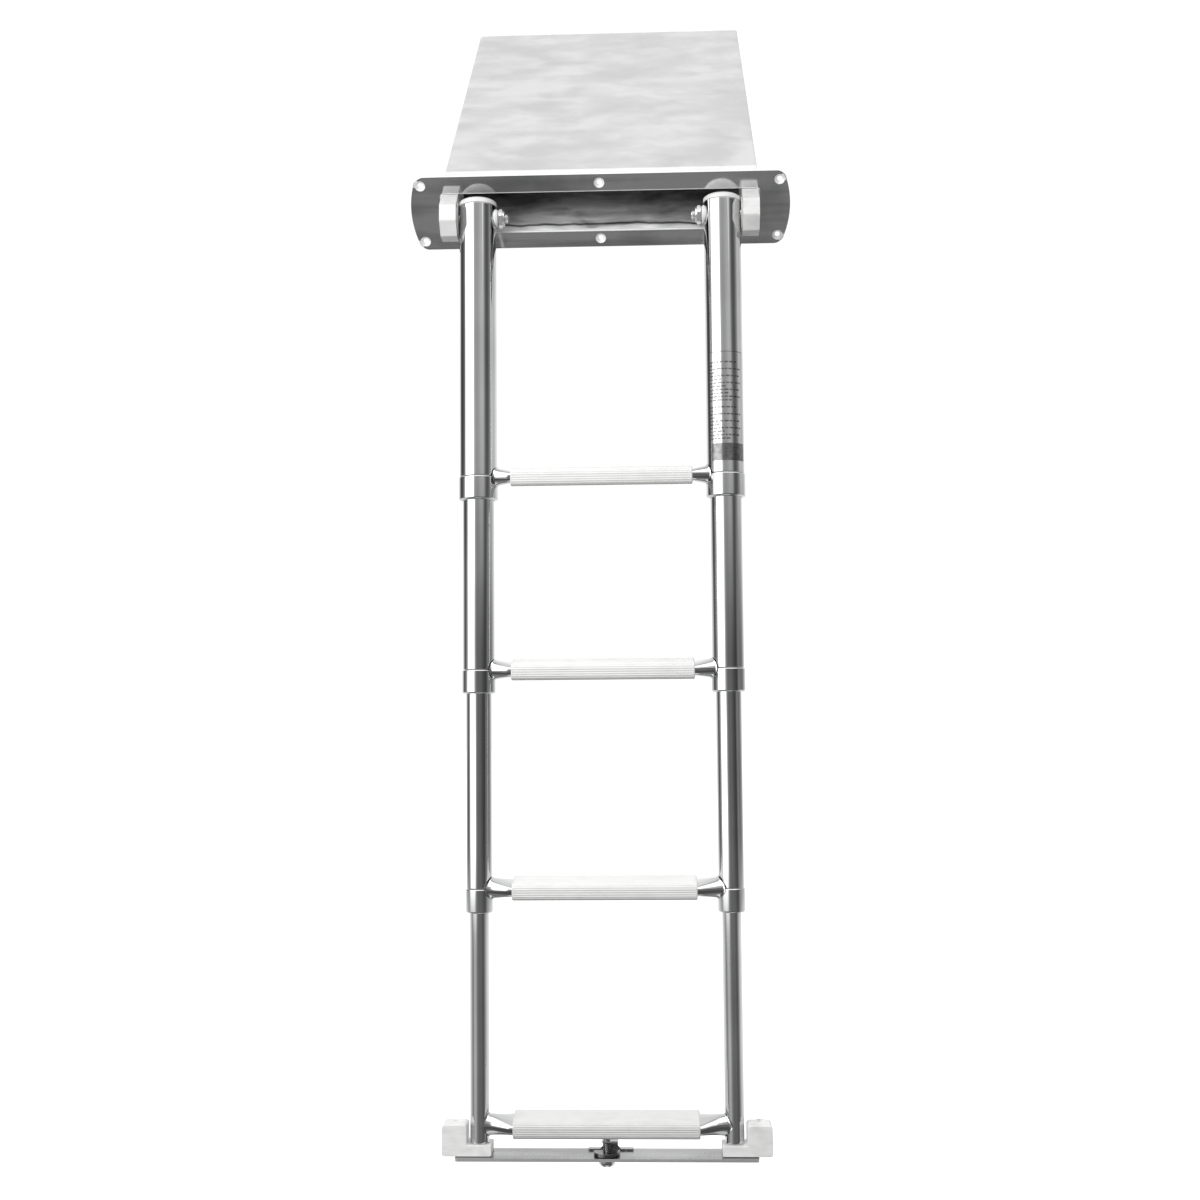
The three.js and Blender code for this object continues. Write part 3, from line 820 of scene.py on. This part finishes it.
def rung_section(x, angle, end_depth, inset=0.0):
    """Y and Z of a rung's wall at a distance from the middle, at an angle round it."""
    share = min(max((x - TAPER[0]) / (TAPER[1] - TAPER[0]), 0), 1)
    depth = RUNG["depth"] + (end_depth - RUNG["depth"]) * share - inset
    height = RUNG["height"] + (RUNG["end_height"] - RUNG["height"]) * share - inset
    power = RUNG["power"] + (1 - RUNG["power"]) * share
    c, s = math.cos(angle), math.sin(angle)
    y = math.copysign(depth * abs(c) ** power, c)
    z = math.copysign(height * abs(s) ** power, s)
    tilt_c, tilt_s = math.cos(TREAD_TILT), math.sin(TREAD_TILT)
    return y * tilt_c - z * tilt_s, y * tilt_s + z * tilt_c


def rung_loops(rail_x, mouth, end_depth, inset, flare):
    """Loops from one rail's surface to the other; each line ends where it meets the rail."""
    facets = 96
    turns = [2 * math.pi * k / facets for k in range(facets)]
    ends = []
    for angle in turns:
        x = rail_x - mouth
        for _ in range(8):
            y, _ = rung_section(x, angle, end_depth, inset)
            x = rail_x - math.sqrt(max(mouth**2 - y**2, 1.0))
        ends.append(x)
    shares = [0, 0.2, 0.4, 0.6, 0.75, 0.86, 0.92, 0.96, 0.985, 1]
    half = []
    for share in shares:
        loop = []
        for angle, end in zip(turns, ends):
            x = TAPER[0] + (end - TAPER[0]) * share
            rise = flare * max(0, 1 - (end - x) / 2.2) ** 2
            loop.append((x, *rung_section(x, angle, end_depth, inset - rise)))
        half.append(loop)
    middle = [(0, *rung_section(0, angle, end_depth, inset)) for angle in turns]
    mirrored = [[(-x, y, z) for x, y, z in loop] for loop in reversed(half)]
    return mirrored + [middle] + half


def rung(section):
    low, high = box_mm(f"{section}_rung")
    facts = rail_facts(section)
    over = 0 if section == "lower" else 0.8
    mouth = facts["radius"] + over + 0.12
    end_depth = min(RUNG["end_depth"], facts["radius"] + over - 0.3)
    outside = rung_loops(facts["x"], mouth, end_depth, 0, 1.0)
    inside = rung_loops(facts["x"], mouth, end_depth, WALL, 0)
    place = at(0, facts["y"], (low.z + high.z) / 2)
    item = mesh_object("rung", grid(outside + inside[::-1]), place)
    shade(item, 60)
    stand_in(f"{section}_rung", item, rung_steel, BODIES[section])


def tread_loops():
    """Ribbed sleeve with plain lips at its ends and an oval bore for the rung."""
    w, d, h = TREAD["half_width"], TREAD["half_depth"], TREAD["half_height"]
    outline = rectangle(d, h, TREAD["corner"], 14)
    around = sum((b - a).length for a, b in zip(outline, outline[1:] + outline[:1]))
    ribs = round(around / RIB_PITCH)
    count = ribs * 8
    edge = resample(outline, count)
    normals = []
    for i in range(count):
        along = edge[(i + 1) % count] - edge[i - 1]
        normals.append(Vector((along.y, -along.x)).normalized())
    grooves = []
    for i, normal in enumerate(normals):
        away = abs((i + 4) % 8 - 4) / 4
        ribbed = min(max((normal.y + 0.8) / 0.35, 0), 1)
        grooves.append(RIB_GROOVE * ribbed * math.exp(-((away / 0.42) ** 2)))

    def ring(x, inset, depth):
        loop = []
        for point, normal, groove in zip(edge, normals, grooves):
            y, z = point - normal * (inset + groove * depth)
            loop.append((x, y, z))
        return loop

    lip = [(0, 1.6), (0.1, 0.8), (0.45, 0.3), (1.0, 0.06), (1.6, 0.0)]
    half = [ring(w - back, inset, 0) for back, inset in lip]
    half += [ring(w - 2.1, 0.05, 0.4), ring(w - 2.6, 0, 1)]
    outside = half + [[(-x, y, z) for x, y, z in loop] for loop in reversed(half)]
    bore = []
    for point in edge:
        angle = math.atan2(point.y / h, point.x / d)
        c, s = math.cos(angle), math.sin(angle)
        y = math.copysign((RUNG["depth"] + GAP) * abs(c) ** RUNG["power"], c)
        z = math.copysign((RUNG["height"] + GAP) * abs(s) ** RUNG["power"], s)
        bore.append((y, z))
    inside = [[(x, y, z) for y, z in bore] for x in (-w, -w + 4, 0, w - 4, w)]
    return outside + inside


def tread(section):
    low, high = box_mm(f"{section}_tread")
    middle = (low + high) / 2
    place = Matrix.Translation(middle) @ Matrix.Rotation(TREAD_TILT, 4, "X")
    item = mesh_object("tread", grid(tread_loops()), place)
    shade(item, 70)
    # The lowest tread gets the darker vinyl, a painted shade.
    look = shaded_vinyl if section == "lower" else vinyl
    stand_in(f"{section}_tread", item, look, BODIES[section])


# ---- Foot and latch ----

FOOT = {"inner": 113.5, "step": 138, "outer": 162.5, "half_depth": 13, "height": 30, "shelf": 10.5}
FOOT_BOLT = {"x": 126, "radius": 3, "head": 6, "hole": 3.3}
SHAFT = {"radius": 2.3, "bore": 2.6}
KNOB_RIM = 3.6
BRACKET = {"left": -4.5, "right": 10.5, "foot_depth": 6.5}
SPRING = {"wire": 0.4, "turns": 5.5}
CLOSED_END = {"share": 0.15, "rise": 0.07}  # parts of the wire and of the height in each closed end


def foot_block(side_name, side):
    low, high = box_mm(f"foot_block_{side_name}")
    y = (low.y + high.y) / 2
    shelf = low.z + FOOT["shelf"]
    corners = [
        (FOOT["inner"], low.z), (FOOT["outer"], low.z), (FOOT["outer"], high.z),
        (FOOT["step"], high.z), (FOOT["step"], shelf), (FOOT["inner"], shelf),
    ]
    outline = soften(corners, [1.2, 2.6, 3.2, 3.2, 1.8, 1.2])
    depth = FOOT["half_depth"]
    block = prism([(side * x, z) for x, z in outline], y - depth, y + depth, "XZY")
    bore = bar(FOOT_BOLT["hole"], low.z - 5, shelf + 5)
    screw_x = (FOOT["step"] + FOOT["outer"]) / 2 + 0.5
    screw_y = y + depth - 5
    sink = lathe([(0, high.z - 3.4), (2, high.z - 3.4), (4.2, high.z + 0.3), (0, high.z + 0.3)])
    item = mesh_object("block", block)
    spots = [(FOOT_BOLT["x"], y, bore), (screw_x, screw_y, sink)]
    tools = [(hole, at(side * hole_x, hole_y)) for hole_x, hole_y, hole in spots]
    combine(item, "DIFFERENCE", *tools)
    round_edges(item, 1.0, 35)
    shade(item)
    stand_in(f"foot_block_{side_name}", item, nylon, "lower_section")

    top = high.z - 0.7
    screw = lathe([(0, top - 2.6), (1.5, top - 2.6), (3.4, top - 0.15), (3.2, top), (0, top)])
    spot = at(side * screw_x, screw_y)
    head = mesh_object("screw", screw, spot)
    slots = []
    for turn in (0.3, 0.3 + math.pi / 2):
        slot = prism(rectangle(2.2, 0.35, 0.1), top - 0.9, top + 1)
        slots.append((slot, spot @ Matrix.Rotation(turn, 4, "Z")))
    combine(head, "DIFFERENCE", *slots)
    shade(head)
    piece(f"block_screw_{side_name}", head, bolt_steel, "lower_section")


def foot_bolt(side_name):
    low, high = box_mm(f"foot_bolt_{side_name}")
    middle = (low + high) / 2
    r, head = FOOT_BOLT["radius"], FOOT_BOLT["head"]
    profile = [(0, low.z), (head - 0.2, low.z), (head, low.z + 0.3), (r, low.z + head - r + 0.3)]
    z = high.z - 8
    while z < high.z - 1:
        profile += [(r, z), (r - 0.5, z + 0.5)]
        z += 1
    profile += [(r - 0.6, high.z), (0, high.z)]
    place = at(middle.x, middle.y)
    socket = [prism(hexagon(5), low.z - 1, low.z + 2.2)]
    fine(
        f"foot_bolt_{side_name}", lathe(profile), bolt_steel, "lower_section", place, socket
    )


def shaft_bore(low, high):
    """The hole for the latch shaft, a little longer than the piece it goes through."""
    return bar(SHAFT["bore"], low - 1, high + 1)


def closing_plate():
    low, high = box_mm("closing_plate")
    middle = (low + high) / 2
    half_width, half_depth = (high.x - low.x) / 2, (high.y - low.y) / 2
    place = at(0, middle.y)
    item = mesh_object("plate", prism(rectangle(half_width, half_depth, 2.5), low.z, high.z), place)
    tools = []
    sink = FOOT_BOLT["head"] - FOOT_BOLT["radius"]
    for side in SIDES.values():
        hole = lathe([
            (0, low.z - 1), (FOOT_BOLT["head"] + 1.3, low.z - 1), (FOOT_BOLT["hole"], low.z + sink),
            (FOOT_BOLT["hole"], high.z + 1), (0, high.z + 1),
        ])
        tools.append((hole, at(side * FOOT_BOLT["x"], middle.y)))
    combine(item, "DIFFERENCE", *tools, (shaft_bore(low.z, high.z), LATCH_AXIS))
    round_edges(item, 0.5, 50)
    shade(item)
    # The plate's edges take the brighter bolt steel: a painted highlight along them.
    second_look(item, (plate_steel, bolt_steel), lambda face: abs(face.normal.z) < 0.5)
    stand_in("closing_plate", item, plate_steel, "lower_section")


def latch_bracket():
    low, high = box_mm("latch_bracket")
    left, right, depth = BRACKET["left"], BRACKET["right"], BRACKET["foot_depth"]
    back = high.y - depth
    side_view = [
        (back, low.z), (back + WALL, low.z), (back + WALL, high.z), (low.y, high.z),
        (low.y, high.z - WALL), (back, high.z - WALL),
    ]
    item = mesh_object("web", prism(soften(side_view, [0, 0, 2.4, 0.5, 0.5, 0.9]), left, right, "YZX"))
    foot = prism(rectangle((high.x - low.x) / 2, depth / 2, 1.2), low.z, low.z + WALL)
    foot_y = high.y - depth / 2
    gusset = [(left - 4, low.z + 0.2), (right + 4, low.z + 0.2), (right, low.z + 4.6), (left, low.z + 4.6)]
    flare = prism(soften(gusset, [0, 0, 3, 3]), back, back + WALL, "XZY")
    foot_place = at((low.x + high.x) / 2, foot_y)
    combine(item, "UNION", (foot, foot_place), (flare, HERE))
    tools = [(shaft_bore(high.z - 4, high.z), LATCH_AXIS)]
    for start, end in ((low.x + 1.5, left - 3), (12, 17.5), (20, high.x - 1)):
        undercut = prism(rectangle((end - start) / 2, 1.5, 0.4), low.z - 1, low.z + 0.9)
        tools.append((undercut, at((start + end) / 2, back + 0.6)))
    combine(item, "DIFFERENCE", *tools)
    round_edges(item, 0.2, 50)
    shade(item)
    stand_in("latch_bracket", item, bracket_steel, "lower_section")


def latch_knob():
    low, high = box_mm("latch_knob")
    plate_low, _ = box_mm("closing_plate")
    top = plate_low.z - GAP
    rim = top - KNOB_RIM
    radius = (high.x - low.x) / 2
    profile = [(radius * s, rim - (rim - low.z) * c) for s, c in quarter(12)]
    profile[0] = (0, low.z)
    shaft = SHAFT["radius"]
    rivet = high.z - 0.8
    profile += [(radius, top - 0.4), (radius - 0.4, top), (shaft, top), (shaft, rivet)]
    profile += [(shaft + 1.1, rivet), (shaft + 1.1, high.z - 0.3), (shaft + 0.7, high.z), (0, high.z)]
    coin_slot = prism(rectangle(0.8, 9, 0.3), low.z - 1, low.z + 1.6)
    fine("latch_knob", lathe(profile), tube_steel, "latch", LATCH_AXIS, [coin_slot])


def latch_cam():
    low, high = box_mm("latch_cam")
    radius = (high.x - low.x) / 2
    back = high.y - LATCH.y
    outline = [(radius, back), (-radius, back)]
    for step in range(33):
        angle = math.pi + math.pi * step / 32
        outline.append((radius * math.cos(angle), radius * math.sin(angle)))
    cam = prism(soften(outline, [1.5, 1.5] + [0] * 33), low.z, high.z)
    bore = shaft_bore(low.z, high.z)
    fine("latch_cam", cam, latch_steel, "latch", LATCH_AXIS, [bore], 0.4)


def latch_spring():
    """A compression spring whose first and last turns lie nearly flat."""
    low, high = box_mm("latch_spring")
    wire, flat, little = SPRING["wire"], CLOSED_END["share"], CLOSED_END["rise"]
    coil = (high.x - low.x) / 2 - wire
    foot = low.z + wire
    rise = high.z - low.z - 2 * wire
    steps = 180
    path = []
    for step in range(steps + 1):
        share = step / steps
        if share < flat:
            lift = little * share / flat
        elif share > 1 - flat:
            lift = 1 - little * (1 - share) / flat
        else:
            lift = little + (1 - 2 * little) * (share - flat) / (1 - 2 * flat)
        angle = 2 * math.pi * SPRING["turns"] * share
        path.append((coil * math.cos(angle), coil * math.sin(angle), foot + rise * lift))
    fine("latch_spring", sweep(path, wire, 12), latch_steel, "latch", LATCH_AXIS)


# ---- Label on the right rail: a film with plain bars, no lettering ----

# Heights are from the pivot; bearings are in degrees round the rail, from its front.
LABEL = {"top": -146.5, "foot": -258.5, "left": -58, "right": 68}
LABEL_BAND = 18
LABEL_ROWS = 24
FILM_THICK = 0.1
INK_THICK = 0.04


def curved_patch(radius, thick, low, high, left, right):
    """A thin patch that wraps a rail from one bearing to another, measured from the front."""
    steps = max(3, round((right - left) / 3))
    columns = []
    for i in range(steps + 1):
        bearing = math.radians(left + (right - left) * i / steps)
        corners = [(radius, low), (radius + thick, low), (radius + thick, high), (radius, high)]
        columns.append([(r * math.sin(bearing), -r * math.cos(bearing), z) for r, z in corners])
    return grid(columns, closed=False)


def merged(solids):
    verts, faces = [], []
    for part_verts, part_faces in solids:
        start = len(verts)
        verts += part_verts
        faces += [[start + i for i in face] for face in part_faces]
    return verts, faces


def label():
    facts = rail_facts("upper", "right")
    place = at(facts["x"], facts["y"], PIVOT.z)
    face = facts["radius"] + 0.05
    top, foot, left, right = LABEL["top"], LABEL["foot"], LABEL["left"], LABEL["right"]
    sheet = mesh_object("film", curved_patch(face, FILM_THICK, foot, top, left, right), place)
    shade(sheet, 30)
    piece("label_film", sheet, film, "upper_section")

    face += 0.11
    marks = [
        curved_patch(face, INK_THICK, foot + 0.5, foot + LABEL_BAND, left + 12, right - 1),
        curved_patch(face, INK_THICK, top - 0.9, top - 0.3, left + 1, right - 3),
    ]
    pitch = (top - foot - LABEL_BAND - 9) / LABEL_ROWS
    for row in range(LABEL_ROWS):
        z = top - 7 - pitch * row
        bearing = left + 6
        for word in range(9):
            length = 6 + (row * 7 + word * 11) % 9
            if bearing + length > right - 8 or (row * 5 + word * 3) % 13 == 0:
                break
            marks.append(curved_patch(face, INK_THICK, z - 1.6, z, bearing, bearing + length))
            bearing += length + 3
    bars = mesh_object("bars", merged(marks), place)
    shade(bars, 30)
    piece("label_bars", bars, ink, "upper_section")


def label_look(name, patchy, tone, rough, bumps, bump_depth, metallic):
    """Printed film: patchy tone, glossy skin. patchy and bumps are settings for a noise."""
    look = Look(name)
    patches = look.noise(*patchy)
    colour = look.spread(patches, *tone)
    roughness = look.spread(look.noise(300, 2), *rough)
    normal = look.bump(look.noise(*bumps) if bumps else patches, bump_depth)
    return look.finish(colour, roughness, normal, Metallic=metallic)


film = label_look("label_film", (60, 3, ALONG_Z), (0.58, 0.74), (0.08, 0.18), (90, 2), 3e-5, 1.0)
ink = label_look("label_ink", (240, 4), (0.16, 0.3), (0.12, 0.24), None, 1e-5, 0.9)


# ---- Build ----

flange_plate()
cassette_shell()
mouth_weld()
rear_panel()
for side_name, side in SIDES.items():
    pivot_block(side_name, side)
    pivot_fasteners(side_name, side)
    saddle_washer(side_name, side)
    rail_cap(side_name)
    foot_block(side_name, side)
    foot_bolt(side_name)
    for level, section in enumerate(SECTIONS):
        rail(section, side_name)
        if section != "lower":
            collar(section, SECTIONS[level + 1], side_name)
            sleeve(f"{section}_bushing_{side_name}", section)
        if section != "upper":
            sleeve(f"{section}_glide_ring_{side_name}", section)
for section in SECTIONS:
    rung(section)
    tread(section)
closing_plate()
latch_bracket()
latch_knob()
latch_cam()
latch_spring()
label()


# ---- Studio ----

PANEL = 2.6  # brightness of the brightest panel that the steel reflects
FLOOR = {"drop": 120, "half": 20000}
LENS = 45.7
EYE = Vector((54.7, -1538.3, -506.9))  # from the ladder's pivot
EYE_TURN = (94.11, 0.45, 2.17)  # degrees


def studio():
    """A world that lights evenly, looks white, and shows polished steel soft panels and dark gaps."""
    world = bpy.data.worlds.new("studio")
    bpy.context.scene.world = world
    world.use_nodes = True
    tree = world.node_tree
    tree.nodes.clear()

    def add(kind, inputs=None, **settings):
        return add_node(tree, kind, inputs, **settings)

    def maths(operation, first, second=0.0):
        return add("ShaderNodeMath", {0: first, 1: second}, operation=operation).outputs["Value"]

    def step(value, low, high):
        inputs = {"Value": value, "From Min": low, "From Max": high}
        return add("ShaderNodeMapRange", inputs, interpolation_type="SMOOTHSTEP").outputs["Result"]

    def below(value, low, high):
        return maths("SUBTRACT", 1.0, step(value, low, high))

    def mix(share, first, second):
        return add("ShaderNodeMix", {0: share, 2: first, 3: second}).outputs[0]

    def ramp(bearing, stops):
        node = add("ShaderNodeValToRGB", {"Fac": bearing})
        elements = node.color_ramp.elements
        while len(elements) < len(stops):
            elements.new(0.5)
        for element, (degrees, value) in zip(elements, stops):
            element.position = degrees / 360 + 0.5
            element.color = (value / PANEL, value / PANEL, value / PANEL, 1)
        return maths("MULTIPLY", node.outputs["Color"], PANEL)

    direction = add("ShaderNodeTexCoord").outputs["Generated"]
    parts = add("ShaderNodeSeparateXYZ", {"Vector": direction}).outputs
    bearing = maths("ARCTAN2", parts["X"], maths("MULTIPLY", parts["Y"], -1.0))
    around = maths("ADD", maths("DIVIDE", bearing, 2 * math.pi), 0.5)
    height = parts["Z"]

    upper = ramp(around, [
        (-180, 1.05), (-137, 0.95), (-126, 0.12), (-110, 0.06), (-95, 0.12), (-84, 0.3), (-72, PANEL),
        (-26, PANEL), (-19, 0.6), (-8, 0.42), (5, 0.44), (26, 0.6), (38, 0.55), (50, 0.17), (62, 0.1),
        (72, 0.15), (84, 0.34), (98, 0.72), (120, 0.6), (140, 0.9), (180, 1.05),
    ])
    middle = ramp(around, [
        (-180, 1.0), (-150, 0.85), (-132, 0.6), (-120, 0.12), (-108, 0.12), (-96, 0.25), (-84, 0.6),
        (-72, PANEL), (-32, PANEL), (-24, 0.7), (-14, 0.24), (0, 0.16), (14, 0.17), (28, 0.12),
        (42, 0.08), (58, 0.06), (68, 0.18), (76, 0.26), (94, 0.18), (118, 0.3), (140, 0.75), (180, 1.0),
    ])
    lower = ramp(around, [
        (-180, 1.0), (-134, 1.0), (-118, 0.9), (-96, 0.5), (-78, 0.24), (-62, 0.5), (-46, 0.6), (-32, 0.45),
        (-20, 0.24), (0, 0.17), (28, 0.17), (48, 0.12), (58, 0.12), (74, 0.3), (88, 0.6), (110, 0.85),
        (130, 1.0), (180, 1.0),
    ])
    seen = mix(step(height, -0.15, -0.08), lower, middle)
    seen = mix(step(height, 0.02, 0.2), seen, upper)
    strip = maths("MULTIPLY", step(around, 0.588, 0.594), below(around, 0.602, 0.61))
    strip = maths("MULTIPLY", strip, step(height, 0.24, 0.36))
    seen = mix(strip, seen, 1.3)
    overhead = mix(step(parts["Y"], -0.3, 0.15), 1.9, 0.9)
    seen = mix(step(height, 0.4, 0.6), seen, overhead)
    front_floor = mix(step(parts["Y"], -0.3, 0.2), 0.09, 0.8)
    seen = mix(below(height, -0.4, -0.22), seen, front_floor)
    seen = mix(below(height, -0.82, -0.7), seen, 0.22)
    seen = mix(below(height, -0.985, -0.95), seen, 1.3)

    soft = mix(step(height, -0.6, 0.5), 0.16, 0.9)
    path = add("ShaderNodeLightPath").outputs
    glossy = mix(path["Is Glossy Ray"], soft, seen)
    final = mix(path["Is Camera Ray"], glossy, 1.05)
    background = add("ShaderNodeBackground", {"Strength": final})
    background.inputs["Color"].default_value = (1, 1, 1, 1)
    output = add("ShaderNodeOutputWorld")
    tree.links.new(background.outputs["Background"], output.inputs["Surface"])


def floor():
    """A pale floor well below the foot, kept out of the steel's reflections."""
    low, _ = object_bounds()
    half = FLOOR["half"]
    z = low[2] / MM - FLOOR["drop"]
    corners = [(-half, -half, z), (half, -half, z), (half, half, z), (-half, half, z)]
    item = mesh_object("floor", (corners, [(0, 1, 2, 3)]))
    look = Look("floor_paper")
    tone = look.spread(look.noise(30, 4), 0.9, 0.93)
    item.data.materials.append(look.finish(tone, 0.8))
    look.shader.inputs["Emission Color"].default_value = (1, 1, 1, 1)
    look.shader.inputs["Emission Strength"].default_value = 0.45
    item.visible_glossy = False
    item.visible_diffuse = False
    item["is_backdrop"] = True


def key_light():
    """A large soft light to the left of the camera."""
    data = bpy.data.lights.new("key", "AREA")
    data.shape = "RECTANGLE"
    data.size = 0.8
    data.size_y = 0.8
    data.energy = 8.5
    item = bpy.data.objects.new("key", data)
    bpy.context.scene.collection.objects.link(item)
    item.location = (-0.5, -0.95, -0.12)
    aim = Vector((0, 0, -0.22)) - item.location
    item.rotation_euler = aim.to_track_quat("-Z", "Y").to_euler()
    item.visible_glossy = False


def camera():
    """In front of the ladder, half way down it, looking slightly up."""
    data = bpy.data.cameras.new("camera")
    data.sensor_width = 36
    data.lens = LENS
    data.clip_end = 100
    item = bpy.data.objects.new("camera", data)
    bpy.context.scene.collection.objects.link(item)
    item.location = (PIVOT + EYE) * MM
    item.rotation_euler = [math.radians(degrees) for degrees in EYE_TURN]
    bpy.context.scene.camera = item


studio()
floor()
key_light()
camera()
bpy.context.scene.view_settings.view_transform = "Standard"
